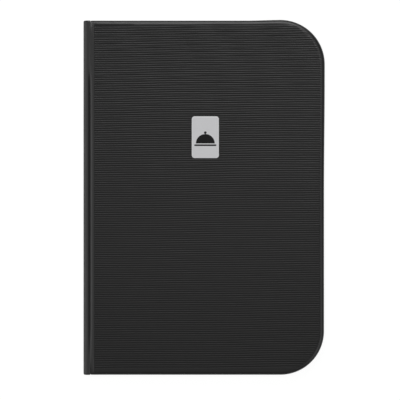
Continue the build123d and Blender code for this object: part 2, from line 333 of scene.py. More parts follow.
def satin_steel():
    """Stainless sheet with a rubbed face and a smoother bevel, whose lighter colour is a painted highlight.
    """
    material, tree, output = new_material("satin_stainless")
    place = add_node(tree, "TexCoord")
    stretched = add_node(
        tree,
        "Mapping",
        {"Vector": place.outputs["Object"], "Scale": (1 / (9 * MM), 1 / (0.25 * MM), 1.0)},
    )
    scratches = add_node(
        tree, "TexNoise", {"Vector": stretched.outputs["Vector"], "Scale": 1.0, "Detail": 3.0}
    )
    facing = add_node(tree, "SeparateXYZ", {"Vector": place.outputs["Normal"]})
    bevel = add_node(
        tree,
        "MapRange",
        {"Value": facing.outputs["Z"], "From Min": 0.99, "From Max": 0.998, "To Min": 1.0, "To Max": 0.0},
    )
    face_shade = add_node(
        tree,
        "Mix",
        {"Factor": scratches.outputs["Fac"], "A": colour("#c9c9cb"), "B": colour("#d8d8da")},
        data_type="RGBA",
    )
    # The bevel's lighter colour, #ececec, is a painted highlight; its lower roughness below is real.
    shade = add_node(
        tree,
        "Mix",
        {"Factor": bevel.outputs["Result"], "A": face_shade.outputs["Result"], "B": colour("#ececec")},
        data_type="RGBA",
    )
    gloss = add_node(tree, "MapRange", {"Value": bevel.outputs["Result"], "To Min": 0.38, "To Max": 0.26})
    bump = add_node(
        tree, "Bump", {"Height": scratches.outputs["Fac"], "Strength": 0.15, "Distance": 0.02 * MM}
    )
    shader = add_node(
        tree,
        "BsdfPrincipled",
        {
            "Base Color": shade.outputs["Result"],
            "Metallic": 1.0,
            "Roughness": gloss.outputs["Result"],
            "Normal": bump.outputs["Normal"],
        },
    )
    tree.links.new(shader.outputs["BSDF"], output.inputs["Surface"])
    return material


plate_steel = satin_steel()
print("plate metal:", plate_steel.name)

# %% [markdown]
# ## Nickel, enamel and elastic
# The cord's eyelets and anchors are nickel-plated brass, bright and a little warm, with faint tumbling
# marks. The emblem on the plate is screen-printed enamel, a deep satin black. The elastic is a rubber core
# in a braided polyester sleeve. Its braid is two sets of threads that cross, and crossed waves around and
# along the cord draw them.

# %% Nickel and enamel materials


def plated_metal(name, base, roughness):
    """Plated metal with faint tumbling marks."""
    material, tree, output = new_material(name)
    place = add_node(tree, "TexCoord")
    marks = add_node(
        tree, "TexNoise", {"Vector": place.outputs["Object"], "Scale": 1 / (0.6 * MM), "Detail": 3.0}
    )
    gloss = add_node(
        tree,
        "MapRange",
        {"Value": marks.outputs["Fac"], "To Min": roughness - 0.05, "To Max": roughness + 0.08},
    )
    shader = add_node(
        tree,
        "BsdfPrincipled",
        {"Base Color": colour(base), "Metallic": 1.0, "Roughness": gloss.outputs["Result"]},
    )
    tree.links.new(shader.outputs["BSDF"], output.inputs["Surface"])
    return material


def enamel():
    """Black screen-printed enamel with a slight orange peel."""
    material, tree, output = new_material("black_enamel")
    normal = relief(tree, 0.9, detail=2.0, strength=0.2, depth_mm=0.02)[1]
    shader = add_node(
        tree,
        "BsdfPrincipled",
        {"Base Color": colour("#0b0b0c"), "Roughness": 0.35, "Specular IOR Level": 0.2, "Normal": normal},
    )
    tree.links.new(shader.outputs["BSDF"], output.inputs["Surface"])
    return material


nickel = plated_metal("nickel_plated_brass", "#c8c4bb", 0.22)
plate_enamel = enamel()
print("metal and enamel:", nickel.name, plate_enamel.name)

# %% Elastic material
braid_thread_mm = 0.9


def braided_elastic():
    """Black braid: two sets of threads that cross, drawn along the cord's length."""
    material, tree, output = new_material("braided_elastic")
    place = add_node(tree, "TexCoord")
    axes = add_node(tree, "SeparateXYZ", {"Vector": place.outputs["Object"]})
    thread = 2 * math.pi / (braid_thread_mm * MM)
    along = add_node(tree, "Math", {0: axes.outputs["Y"], 1: thread}, operation="MULTIPLY")
    crossing = []
    for sign in (1, -1):
        across = add_node(tree, "Math", {0: axes.outputs["Z"], 1: sign * thread}, operation="MULTIPLY")
        both = add_node(tree, "Math", {0: across.outputs[0], 1: along.outputs[0]}, operation="ADD")
        wave = add_node(tree, "Math", {0: both.outputs[0]}, operation="SINE")
        crossing.append(wave.outputs[0])
    higher = add_node(tree, "Math", {0: crossing[0], 1: crossing[1]}, operation="MAXIMUM")
    braid = higher.outputs[0]
    # The colour follows the braid's height: darker in the hollows between the threads as painted shade,
    # lighter on their crests.
    shade = add_node(
        tree, "Mix", {"Factor": braid, "A": colour("#0d0d0e"), "B": colour("#2a2a2c")}, data_type="RGBA"
    )
    bump = add_node(tree, "Bump", {"Height": braid, "Strength": 0.8, "Distance": 0.1 * MM})
    shader = add_node(
        tree,
        "BsdfPrincipled",
        {
            "Base Color": shade.outputs["Result"],
            "Roughness": 0.75,
            "Normal": bump.outputs["Normal"],
            "Sheen Weight": 0.3,
        },
    )
    tree.links.new(shader.outputs["BSDF"], output.inputs["Surface"])
    return material


elastic_braid = braided_elastic()
print("cord material:", elastic_braid.name)

# %% [markdown]
# ## Clear PVC
# The pockets are clear soft PVC, 0.2 mm thick. It lets light through, reflects sharply, and is never quite
# flat, so its highlights wander. Where two films are welded by a hot bar, the surface is matted by the
# bar's fine knurl and looks frosted, so the welds get their own rougher material with a finer relief.

# %% Clear film materials


def clear_pvc(name, tint, roughness, wave_mm, wave_depth_mm):
    """Clear soft PVC, with waves or knurl marks of a given size."""
    material, tree, output = new_material(name)
    normal = relief(tree, wave_mm, detail=2.0, strength=0.5, depth_mm=wave_depth_mm)[1]
    shader = add_node(
        tree,
        "BsdfPrincipled",
        {
            "Base Color": colour(tint),
            "Roughness": roughness,
            "IOR": 1.53,
            "Transmission Weight": 1.0,
            "Normal": normal,
        },
    )
    tree.links.new(shader.outputs["BSDF"], output.inputs["Surface"])
    return material


clear_film = clear_pvc("clear_pvc_film", "#f4f7f8", 0.06, 30, 0.4)
welded_film = clear_pvc("welded_pvc", "#e9eeee", 0.35, 0.7, 0.15)
print("clear materials:", clear_film.name, welded_film.name)

# %% [markdown]
# ## Finishes on the CAD pieces
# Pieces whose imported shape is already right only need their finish. The others get it too, because a piece
# that stands for one of them is made from the same material.

# %% Assign finishes
finishes = {
    cover_leatherette: ["front_skin", "back_skin", "spine_skin", "front_joint_strip", "back_joint_strip"],
    lining_leatherette: [
        "front_lining",
        "back_lining",
        "spine_lining",
        "front_inner_hinge",
        "back_inner_hinge",
    ],
    foam_sheet: ["front_padding", "back_padding"],
    grey_board: ["front_board", "back_board", "spine_board"],
    plate_steel: ["nameplate"],
    tape: ["nameplate_adhesive"],
    elastic_braid: ["elastic_cord"],
    nickel: ["cord_anchors", "cord_eyelets"],
    clear_film: [
        "front_leaf_outer_film",
        "front_leaf_inner_film",
        "back_leaf_outer_film",
        "back_leaf_inner_film",
        "insert_fold_strip",
    ],
    welded_film: ["front_leaf_weld_seams", "back_leaf_weld_seams"],
}
for material, names in finishes.items():
    for name in names:
        nodes[name].data.materials.clear()
        nodes[name].data.materials.append(material)
print("finished nodes:", sum(len(names) for names in finishes.values()))

# %% [markdown]
# ## The outline of a stiff cover
# Every edge of the cover follows one outline: square at the hinge, with two large corners at the fore edge.
# A function gives that outline at any distance in from the edge, always with the same number of points, so
# that two outlines at different depths can be joined by a band of quads. That is how the rolled rim is
# made.

# %% Outline of a cover
fore_corner = 42.0
hinge_corner = 1.6
corner_x = fore_x - fore_corner
corner_y = half_height - fore_corner
SIDE_STEPS = 24
FORE_STEPS = 45
HINGE_STEPS = 4


def cover_outline(inset):
    """Points round a cover at a distance in from its edge, from the foot corner at the hinge."""
    left = joint_end_x + inset
    top = half_height - inset
    small = max(hinge_corner - inset, 0.0)
    large = fore_corner - inset

    def side(start, end):
        return np.linspace(start, end, SIDE_STEPS, endpoint=False)

    def arc(centre, radius, start, steps):
        turn = np.radians(np.linspace(start, start + 90, steps, endpoint=False))
        return np.array(centre) + radius * np.column_stack((np.cos(turn), np.sin(turn)))

    return np.vstack(
        (
            side((left + small, -top), (corner_x, -top)),
            arc((corner_x, -corner_y), large, -90, FORE_STEPS),
            side((fore_x - inset, -corner_y), (fore_x - inset, corner_y)),
            arc((corner_x, corner_y), large, 0, FORE_STEPS),
            side((corner_x, top), (left + small, top)),
            arc((left + small, top - small), small, 90, HINGE_STEPS),
            side((left, top - small), (left, small - top)),
            arc((left + small, small - top), small, 180, HINGE_STEPS),
        )
    )


print("points round a cover:", len(cover_outline(0)))

# %% [markdown]
# ## Ribs
# The ribs are pressed into the leatherette at a pitch of 2.125 mm. Each is a soft wave, with a crest as
# round as the groove beside it. Only the flanks that face the head of the cover catch the light from there,
# so the rows of light and dark are clear near the head and grow faint towards the foot. Real geometry is
# used and not a bump, because these rows are the first thing that the eye reads on this object. The die sat
# a little low, so the smooth strip at the foot is wider than the one at the head. One rib is drawn as a
# list of distances from its groove, with a depth for each.

# %% Section of one rib
rib_pitch = 2.125
rib_count = 155
first_rib = 5.15
rib_section = [(0.12, 0.305), (0.38, 0.225), (0.60, 0.126), (0.82, 0.039), (1.0625, 0.0)]


def rib_rows():
    """Places across the cover of all the rows of points, and how deep the field is pressed at each."""
    section = [(-distance, depth) for distance, depth in rib_section[::-1]] + rib_section[:-1]
    lowest = half_height - first_rib - (rib_count - 1) * rib_pitch
    grooves = lowest + np.arange(rib_count) * rib_pitch
    places = [groove + distance for groove in grooves for distance, depth in section]
    depths = [depth for groove in grooves for distance, depth in section]
    return np.array(places), np.array(depths)


print("rows of points:", len(rib_rows()[0]))

# %% [markdown]
# ## Drift of the ribs
# Cloth moves a little under a hot plate. The ribs run half a degree askew, rising towards the fore edge,
# and they wander by a few tenths of a millimetre, here as a sum of slow waves. The rows of points follow
# them, so that no groove is ever cut by a row. The plate also pressed unevenly. Near the head some ribs are
# deeper than others, which changes every few centimetres along each rib.

# %% Drift and strength of the ribs
rib_skew = 0.008
drift_waves = [(0.22, 47, 90), (0.12, 19, -35), (0.05, 8, 6)]
uneven = 0.65
strength_waves = [(0.6, 9, 2.4), (0.4, 21, 4.1)]


def rib_drift(x, y):
    """How far a rib has moved towards the head at a place."""
    wander = sum(size * np.sin(x / along + y / across) for size, along, across in drift_waves)
    return rib_skew * x + wander


def rib_strength(x, y):
    """How strongly a rib is pressed at a place, where 1 is its usual depth."""
    rib = np.round((y - half_height + first_rib) / rib_pitch)
    towards_head = (0.5 + 0.5 * y / half_height) ** 3
    change = sum(size * np.sin(x / along + step * rib) for size, along, step in strength_waves)
    return 1 + uneven * towards_head * change


print("drift at the head's fore end:", round(float(rib_drift(fore_x, half_height)), 2), "mm")

# %% [markdown]
# ## The rim
# The rim rolls over the edge of the board in a quarter of an ellipse, wider than it is high, because the
# foam is pressed thin there. The roll is widest at the head and tightest along the fore edge. Inside it the
# face is crowned: over its last centimetre it falls by a few tenths of a millimetre, like a pillow, and
# that widens the highlight. On the side of the joint there is no such roll: the leatherette slopes down
# into the groove, and this slope is as deep as the groove is at that place. The groove is shallow near head
# and foot, where the hem fills it.

# %% Depth of the rim
rim_radius = 2.8
rim_reach = 4.2
head_reach = 1.2
head_zone = (60, 10)
fore_reach = -0.9
crown_depth = 0.4
crown_width = 10.0
crown_fade = 15.0
slope_depth = 1.1
slope_reach = 3.2
slope_curve = 2.2
groove_head_zone = (46, 61)
groove_foot_zone = (8, 46)
groove_head_least = 0.07
groove_foot_least = 0.25


def fore_distance(x, y):
    """Distance in from the head, fore or foot edge."""
    away_x = x - corner_x
    away_y = np.abs(y) - corner_y
    in_corner = fore_corner - np.hypot(np.maximum(away_x, 0), np.maximum(away_y, 0))
    straight = np.minimum(fore_x - x, half_height - np.abs(y))
    return np.where((away_x > 0) & (away_y > 0), in_corner, straight)


def groove_share(y):
    """How deep the joint's groove is at a place: 1 in the middle, less near head and foot."""
    head = soft_ramp(half_height - y, *groove_head_zone)
    foot = soft_ramp(half_height + y, *groove_foot_zone)
    head_share = groove_head_least + (1 - groove_head_least) * head
    return head_share * (groove_foot_least + (1 - groove_foot_least) * foot)


def rim_depth(x, y):
    """How far the leatherette lies below the face on the rim."""
    edge = fore_distance(x, y)
    away_x = np.maximum(x - corner_x, 0)
    away_y = np.maximum(np.abs(y) - corner_y, 0)
    fore = (away_x / np.maximum(np.hypot(away_x, away_y), TINY)) ** 4
    near_head = ramp(half_height - y, *head_zone)
    reach = rim_reach + head_reach * near_head * (1 - fore) + fore_reach * fore
    roll = rim_radius * (1 - np.sqrt(1 - ramp(edge, reach, 0) ** 2))
    slope = slope_depth * ramp(x - joint_end_x, slope_reach, 0) ** slope_curve
    crown = crown_depth * ramp(edge, crown_width, 0) ** 2 * ramp(x - joint_end_x, 0, crown_fade)
    return roll + slope * groove_share(y) + crown


print("rim depth 1.5 mm from the head:", round(float(rim_depth(0.0, half_height - 1.5)), 2), "mm")

# %% [markdown]
# ## The plate's seat
# On the front cover the plate is glued into a shallow recess. The foam gives under it, so the leatherette
# dips a little all round. The seat is a rounded rectangle, and its signed distance says how far a point is
# from its edge.

# %% Seat of the plate
plate_low, plate_high = box_mm("nameplate")
plate_centre = (plate_low[:2] + plate_high[:2]) / 2
plate_corner = 2.7
seat_gap = 0.35
seat_half = (plate_high[:2] - plate_low[:2]) / 2 + seat_gap
seat_depth = 0.45
seat_wall = 0.16
seat_dip = 0.14
seat_dip_reach = 1.4


def seat_distance(x, y):
    """Distance outside the seat's edge, negative inside it."""
    radius = plate_corner + seat_gap
    away_x = np.abs(x - plate_centre[0]) - (seat_half[0] - radius)
    away_y = np.abs(y - plate_centre[1]) - (seat_half[1] - radius)
    outside = np.hypot(np.maximum(away_x, 0), np.maximum(away_y, 0))
    return outside + np.minimum(np.maximum(away_x, away_y), 0) - radius


def seat_drop(x, y):
    """How far the leatherette lies below the face, in and around the seat."""
    distance = seat_distance(x, y)
    wall = ramp(distance, seat_wall / 2, -seat_wall / 2)
    around = seat_dip * np.exp(-((np.maximum(distance, 0) / seat_dip_reach) ** 2))
    return seat_depth * wall + around * (1 - wall)


print("plate centre", plate_centre, "mm")

# %% [markdown]
# ## The ribbed face
# The face is a grid whose rows run along the ribs, nine to a rib. All rows start at the hinge and end on
# the rounded outline, so their last points slide along it. Columns are packed where the height changes
# quickly: at both ends of the ribs and beside the plate's seat. The drift of the rows fades out on the last
# millimetre before the rim, which is straight.

# %% Grid of the ribbed face
rim_width = 3.0
rib_fade = 0.7
drift_fade = 1.3
seat_fade = 0.5
least_row = 0.05
field_start = spine_x + 10.3
field_inset = 3.1
field_shift = (0.7, 0.85)
hinge_columns = (0, 0.35, 0.7, 1.0, 1.3, 1.6, 2.0, 2.6, 4.0)
seat_columns = (-3.4, -2.4, -1.6, -0.9, -0.4, -0.1, 0.1, 0.4, 0.9, 1.7)
fore_columns = (3.4, 2.4, 1.7, 1.2, 0.85, 0.55, 0.3, 0.0)
wide_columns = 22
wide_zone = (9, 12)
sliding_columns = 7


def face_columns(rows, with_seat):
    """X of every grid point, one line per row."""
    left = joint_end_x + rim_width
    radius = fore_corner - rim_width
    over = np.clip(np.abs(rows) - corner_y, 0, radius)
    right = corner_x + np.sqrt(radius**2 - over**2)
    fixed = [left + d for d in hinge_columns]
    fixed += list(np.linspace(left + wide_zone[0], corner_x - wide_zone[1], wide_columns))
    if with_seat:
        for edge in (-1, 1):
            fixed += [plate_centre[0] + edge * (seat_half[0] + d) for d in seat_columns]
    fixed = np.sort(np.array(fixed))
    ends = np.array(fore_columns)
    share = np.linspace(0, 1, sliding_columns + 1)[1:]
    start = fixed[-1]
    middle = start + share[None, :] * (right - ends[0] - start)[:, None]
    last = right[:, None] - ends[None, 1:]
    return np.hstack((np.tile(fixed, (len(rows), 1)), middle, last))


def face_grid(with_seat):
    """Grid points as (rows, columns, 3), where Z is the depth under the cover's face."""
    rows, pressed = rib_rows()
    edge = half_height - rim_width
    inside = np.abs(rows) < edge - least_row
    rows = np.concatenate(([-edge], rows[inside], [edge]))
    pressed = np.concatenate(([0], pressed[inside], [0]))
    x = face_columns(rows, with_seat)
    level = np.repeat(rows[:, None], x.shape[1], axis=1)
    y = level + rib_drift(x, level) * ramp(fore_distance(x, level) - rim_width, 0, drift_fade)
    fade = soft_ramp(np.minimum(fore_distance(x, y) - rim_width, x - field_start), 0, rib_fade)
    depth = pressed[:, None] * fade * rib_strength(x, level)
    if with_seat:
        depth = depth * ramp(seat_distance(x, y), 0, seat_fade) + seat_drop(x, y)
    return np.stack((x, y, depth + rim_depth(x, y)), axis=2)


def in_ribbed_field(points):
    """True for points on the outer face that the ribbed plate pressed."""
    x, y, z = points.T
    outside = np.minimum(z, closed_thickness - z) < rim_radius
    pressed = fore_distance(x + field_shift[0], y + field_shift[1]) > field_inset
    return outside & pressed & (x > field_start)


print("grid of the front face:", face_grid(True).shape)

# %% [markdown]
# ## Joining the face to the rim
# The grid's border and the first outline of the rim have different numbers of points. A zip joins them: it
# walks round both at once and always steps along the one that is behind, which leaves a band of triangles.
# The band lies on the flat strip beside the ribs, where triangles don't show.

# %% Zip two loops
HAIR = 1e-3
WHOLE_LOOP = 6.0


def loop_place(points, inset):
    """How far round the outline each point is: one unit for each side or corner."""
    left = joint_end_x + inset
    top = half_height - inset
    x, y = points[:, 0], points[:, 1]
    along_foot = (x - left) / (corner_x - left)
    foot_corner = 1 + np.arctan2(x - corner_x, -(y + corner_y)) / (math.pi / 2)
    along_fore = 2 + (y + corner_y) / (2 * corner_y)
    head_corner = 3 + np.arctan2(y - corner_y, x - corner_x) / (math.pi / 2)
    along_head = 4 + (corner_x - x) / (corner_x - left)
    along_hinge = 5 + (top - y) / (2 * top)
    return np.select(
        [
            (x < left + HAIR) & (y > HAIR - top),
            (x <= corner_x) & (y < 0),
            (x > corner_x) & (y < -corner_y),
            (x > corner_x) & (y <= corner_y),
            x > corner_x,
        ],
        [along_hinge, along_foot, foot_corner, along_fore, head_corner],
        along_head,
    )


def zip_loops(first, first_place, second, second_place):
    """Triangles between two closed loops of point numbers, which both start at the same corner."""
    first, second = [*first, first[0]], [*second, second[0]]
    first_place = [*first_place, WHOLE_LOOP]
    second_place = [*second_place, WHOLE_LOOP]
    faces = []
    i = j = 0
    while i < len(first) - 1 or j < len(second) - 1:
        first_left = i < len(first) - 1
        second_left = j < len(second) - 1
        if not second_left or (first_left and first_place[i + 1] <= second_place[j + 1]):
            faces.append((first[i], first[i + 1], second[j]))
            i += 1
        else:
            faces.append((first[i], second[j + 1], second[j]))
            j += 1
    return faces


print("last place round the outline:", round(float(loop_place(cover_outline(0), 0).max()), 2), "of 6")

# %% [markdown]
# ## Pleats
# Leatherette can't fold flat round a corner. A binder gathers the spare cloth into small pleats that fan
# round the corner on the inner face, and the lining hides most of them. They are worked into the turned-in
# band as low ridges that run in from the edge, a little unevenly spaced.

# %% Pleats round the fore corners
pleat_height = 0.22
pleats_per_corner = 9
pleat_shift = 0.6
pleat_change = 7


def pleat_rise(points):
    """Height of the pleats at points of the turned-in band."""
    away_x = points[:, 0] - corner_x
    away_y = np.abs(points[:, 1]) - corner_y
    turn = np.arctan2(np.maximum(away_y, 0), np.maximum(away_x, TINY)) / (math.pi / 2)
    in_corner = (away_x > 0) & (away_y > 0)
    wave = np.abs(np.sin(math.pi * pleats_per_corner * turn + pleat_shift * np.sin(pleat_change * turn)))
    return np.where(in_corner, pleat_height * wave**3, 0.0)


print("highest pleat:", round(float(pleat_rise(cover_outline(4.0)).max()), 2), "mm")

# %% [markdown]
# ## A proud corner
# The cover is made by hand, and nothing on it is quite square. At the head's fore corner the leatherette
# wasn't pulled as tight as elsewhere, and it stands out by 0.7 mm. That fades out along the head, along the
# fore edge and inwards.

# %% Proud corner at the head
proud_by = 0.7
proud_inwards = 25.0
proud_along_head = (75.0, 40.0)
proud_along_fore = 115.0


def proud_corner(points):
    """Moves the points near the head's fore corner outwards."""
    x, y = points[:, 0], points[:, 1]
    away_x = np.maximum(x - corner_x, 0)
    away_y = np.maximum(y - corner_y, 0)
    outwards = np.column_stack((away_x, away_y)) / np.maximum(np.hypot(away_x, away_y), TINY)[:, None]
    near_edge = ramp(fore_distance(x, y), proud_inwards, 0) ** 2
    share = near_edge * soft_ramp(fore_x - x, *proud_along_head) * soft_ramp(y, 0, proud_along_fore)
    moved = points.copy()
    moved[:, :2] += proud_by * share[:, None] * outwards
    return moved


outline = cover_outline(0)
moved_by = np.linalg.norm(proud_corner(outline) - outline, axis=1)
print("the corner stands out by", round(float(moved_by.max()), 2), "mm")

# %% [markdown]
# ## Leatherette of a whole cover
# Now the skin can be built as one closed shell: the ribbed face, the rim that rolls over the board's edge,
# the fold, the turned-in band on the inner face, and back along the inside. The back cover is the same
# shell, mirrored and without the plate's seat.

# %% Profile of a cover's edge
skin_thickness = 0.8
turn_in_depth = closed_thickness - skin_low[2]
turn_in_thickness = 0.4
turn_in_width = 14.8
fold_radius = 0.6
first_step = 2.5
turned_in_band = [(1.0, 0.4), (2.0, 0.9), (4.0, 1), (5.4, 1), (6.4, 0), (turn_in_width, 0)]


def skin_profile():
    """Inset, depth and pleats' share of each outline after the face. No depth: the rim's own."""
    quarter = np.radians(np.linspace(0, 90, 5))
    flattest = math.degrees(math.asin(1 - rim_width / rim_reach)) + first_step
    steps = [(rim_reach * (1 - math.sin(t)), None, 0) for t in np.radians(np.linspace(flattest, 90, 11))]
    fold_depth = turn_in_depth - fold_radius
    for turn in quarter:
        steps.append((fold_radius * (1 - math.cos(turn)), fold_depth + fold_radius * math.sin(turn), 0))
    steps += [(inset, turn_in_depth, pleated) for inset, pleated in turned_in_band]
    hidden_depth = turn_in_depth - turn_in_thickness
    steps += [(turn_in_width, hidden_depth, 0), (skin_thickness, hidden_depth, 0)]
    inner = rim_radius - skin_thickness
    for turn in quarter:
        steps.append((rim_radius - inner * math.cos(turn), rim_radius - inner * math.sin(turn), 0))
    return steps


print("outlines round the edge:", len(skin_profile()))

# %% Skin of a cover


def cover_skin(name, with_seat, mirrored):
    """One closed shell of leatherette for a cover."""
    grid = face_grid(with_seat)
    count, width = grid.shape[:2]
    at = np.arange(count * width).reshape(count, width)
    border = grid_border(at)
    points = [grid.reshape(-1, 3)]
    faces = grid_faces(at)
    rings = []
    total = count * width
    profile = skin_profile()
    for inset, depth, pleated in profile:
        flat = cover_outline(inset)
        level = rim_depth(*flat.T) if depth is None else depth + pleated * pleat_rise(flat)
        points.append(np.column_stack((flat, level)))
        rings.append(total + np.arange(len(flat)))
        total += len(flat)
    first_inset = profile[0][0]
    faces += zip_loops(
        border,
        loop_place(points[0][border], rim_width),
        rings[0],
        loop_place(cover_outline(first_inset), first_inset),
    )
    for outer, inner in zip(rings, rings[1:]):
        faces += band_faces(outer, inner)
    faces.append(rings[-1].tolist())
    points = heights(proud_corner(np.vstack(points)), mirrored)
    made = mesh_object(name, points, faces, cover_leatherette)
    made.data.materials.append(ribbed_leatherette)
    centres = np.array([face.center for face in made.data.polygons]) / MM
    made.data.polygons.foreach_set("material_index", in_ribbed_field(centres).astype(int))
    return made


for mirrored, side in SIDES:
    skin = cover_skin(f"{side}_leatherette", not mirrored, mirrored)
    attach(skin, f"{side}_cover")
    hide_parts(f"{side}_skin")
    print(skin.name, "faces:", len(skin.data.polygons))

# %% [markdown]
# ## The two joints
# Between the spine and each cover the leatherette has no board behind it, so it can bend. It rolls over the
# spine's edge in a soft shoulder, dips into a groove, and ends against the cover's roll. The groove is
# pressed with a bone folder along the middle. Near the head and the foot the turned-in hem fills the joint,
# so the groove fades out. The shoulder is a quarter of an ellipse, because the soft cloth sags a little
# over the edge of the spine. Only the depth of the groove changes along the joint.

# %% Section of a joint
shoulder_reach = 4.4
shoulder_height = 3.7
lip_radius = 0.9
foot_radius = 0.45
lip_x = spine_x + 5.2
groove_x = spine_x + 5.8
groove_depth = 1.9
lip_shift = 0.4
end_step = 0.04


def fillet_path(corners, radii, steps):
    """Points along a polyline whose corners are rounded."""
    corners = [np.array(c, float) for c in corners]
    path = [corners[0]]
    for before, corner, after, radius in zip(corners, corners[1:], corners[2:], radii):
        to_before = (before - corner) / np.linalg.norm(before - corner)
        to_after = (after - corner) / np.linalg.norm(after - corner)
        half = math.acos(np.clip(to_before @ to_after, -1, 1)) / 2
        middle = (to_before + to_after) / np.linalg.norm(to_before + to_after)
        centre = corner + middle * radius / math.sin(half)
        start = corner + to_before * radius / math.tan(half) - centre
        end = corner + to_after * radius / math.tan(half) - centre
        whole = math.acos(np.clip(start @ end / radius**2, -1, 1))
        for share in np.linspace(0, 1, steps):
            weight = [math.sin((1 - share) * whole), math.sin(share * whole)]
            path.append(centre + (weight[0] * start + weight[1] * end) / math.sin(whole))
    path.append(corners[-1])
    return np.array(path)


def joint_section(inward):
    """Section of the joint as (x, depth), at a distance under its outer face."""
    turn = np.radians(np.linspace(0, 90, 12))
    shoulder = np.column_stack(
        (
            spine_x + shoulder_reach - (shoulder_reach - inward) * np.cos(turn),
            shoulder_height - (shoulder_height - inward) * np.sin(turn),
        )
    )
    groove = fillet_path(
        [
            (spine_x + shoulder_reach, inward),
            (lip_x - lip_shift * inward, inward),
            (groove_x - inward, groove_depth + inward),
            (joint_end_x, slope_depth + inward),
        ],
        (lip_radius - inward, foot_radius),
        9,
    )
    near_end = groove[-2] * end_step + groove[-1] * (1 - end_step)
    return np.vstack(((spine_x + inward, cover_thickness), shoulder, groove[1:-1], near_end, groove[-1]))


def sink(path, share, inward):
    """Makes the groove of a section shallower, without touching the shoulder."""
    made = path.copy()
    groove = (made[:, 0] > spine_x + shoulder_reach) & (made[:, 1] > inward)
    made[groove, 1] = inward + (made[groove, 1] - inward) * share
    return made


print("points in a joint's section:", len(joint_section(0)))

# %% [markdown]
# ## Leatherette of the joints
# Each strip is a thin shell, closed at head and foot by a gusset that the hem makes. It is built from two
# skins, one outside and one inside, whose edges are then joined. When the cover opens, the real strip has
# to bend, but here the strip is made only in its closed place, with its transform baked into its points.

# %% Rows of a joint
hem_radius = 1.4
end_stations = (0, 0.06, 0.2, 0.45, 0.8, 1.2, 1.6, 2.4, 4, 7)
end_zone = 10
middle_stations = 96
mean_wave = 0.09
joint_waves = ((0.05, 9.0, 0), (0.04, 3.7, 1))
wave_reach = 4
still_points = 3


def hem_inset(from_end):
    """How far the rounded hem pulls the surface in, at a distance from the strip's end."""
    over = np.clip(hem_radius - from_end, 0, hem_radius)
    return hem_radius - math.sqrt(hem_radius**2 - over**2)


def path_normals(path):
    """Unit normals of a path, pointing to its outer side."""
    along = np.gradient(path, axis=0)
    normals = np.column_stack((along[:, 1], -along[:, 0]))
    return normals / np.linalg.norm(normals, axis=1)[:, None]


def skin_stations(end):
    """Places along a joint, close together at both ends."""
    near = np.array(end_stations)
    middle = np.linspace(end_zone - end, end - end_zone, middle_stations)
    return np.concatenate((near - end, middle, end - near[::-1]))


def joint_row(path, normals, y, inward):
    """The outer skin, or the inner one, of a joint at one station, as (x, depth)."""
    row = sink(path, groove_share(y), inward)
    if inward:
        return row
    row = row - normals * hem_inset(half_height - abs(y))
    wave = mean_wave + sum(size * math.sin(y / along + start) for size, along, start in joint_waves)
    loose = row[still_points:-still_points]
    loose[:, 1] += wave * ramp(loose[:, 0], spine_x, spine_x + wave_reach)
    return row


print("stations along a joint:", len(skin_stations(half_height)))


def joint_strip(name, mirrored):
    """Leatherette shell of one joint."""
    outer_path, inner_path = joint_section(0), joint_section(skin_thickness)
    outer_path[:, 0] = np.maximum(outer_path[:, 0], spine_x)
    normals = path_normals(outer_path)
    normals[0] = (-1, 0)
    normals[outer_path[:, 0] > spine_x + shoulder_reach] = (0, -1)
    width = len(outer_path)
    points = []
    loops = []
    faces = []
    for path, inward in ((outer_path, 0), (inner_path, skin_thickness)):
        stations = skin_stations(half_height - inward)
        start = sum(len(row) for row in points)
        for y in stations:
            row = joint_row(path, normals, y, inward)
            points.append(np.column_stack((row[:, 0], np.full(width, y), row[:, 1])))
        at = start + np.arange(len(stations) * width).reshape(len(stations), width)
        faces += grid_faces(at)
        lows = []
        total = start + len(stations) * width
        for end_row, edge in ((points[-len(stations)], at[0]), (points[-1], at[-1])):
            low_x = np.linspace(end_row[0, 0], end_row[-1, 0], width)[1:]
            points.append(np.column_stack((low_x, end_row[1:, 1], np.full(width - 1, cover_thickness))))
            low = total + np.arange(width - 1)
            total += width - 1
            faces.append([edge[0], edge[1], low[0]])
            faces += np.stack((edge[1:-1], edge[2:], low[1:], low[:-1]), axis=1).tolist()
            lows.append(low)
        loops.append([*at[:, 0], *lows[1], *at[::-1, -1], *lows[0][::-1]])
    faces += band_faces(*loops)
    return mesh_object(name, heights(np.vstack(points), mirrored), faces, cover_leatherette)


def blend_over_joint(strip, side):
    """Bakes a strip's transform into its points, the same for either side; it does not bend the strip."""
    if side == "front":
        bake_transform(strip)
    else:
        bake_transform(strip)


for mirrored, side in SIDES:
    strip = joint_strip(f"{side}_joint_leatherette", mirrored)
    blend_over_joint(strip, side)
    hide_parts(f"{side}_joint_strip")
    print(strip.name, "faces:", len(strip.data.polygons))

# %% [markdown]
# ## Leatherette of the spine
# Down the spine the same leatherette lies flat on a stiff strip of board and is turned in round its ends.
# Seen from the head it is a shallow C, so one C-shaped loop is drawn and raised through the height of the
# spine.

# %% Spine wall
board_x = spine_x + skin_thickness
wall_x = board_x + 2.0
lining_end = half_height - 5.0
flap_lap = 0.4
flap_radius = 0.6
wall_zone = (6, 8)
wall_stations = 40
wall_levels = 7


def spine_loop():
    """The C of the spine's leatherette, seen from the head, as (x, y)."""
    flap = wall_x + flap_lap
    outer = fillet_path(
        [(flap, 0), (flap, half_height), (spine_x, half_height), (spine_x, 0)],
        (flap_radius, hem_radius),
        7,
    )
    straight = np.linspace(half_height - wall_zone[0], wall_zone[1], wall_stations)
    upper = np.vstack((outer[1:-1], [(spine_x, y) for y in straight]))
    inner = np.array(
        [
            (board_x, 0),
            (board_x, half_height - skin_thickness),
            (wall_x, half_height - skin_thickness),
            (wall_x, lining_end),
            (flap, lining_end),
        ]
    )
    half = np.vstack((inner[1:], upper))
    lower = half[::-1] * (1, -1)
    return np.vstack((half, lower))


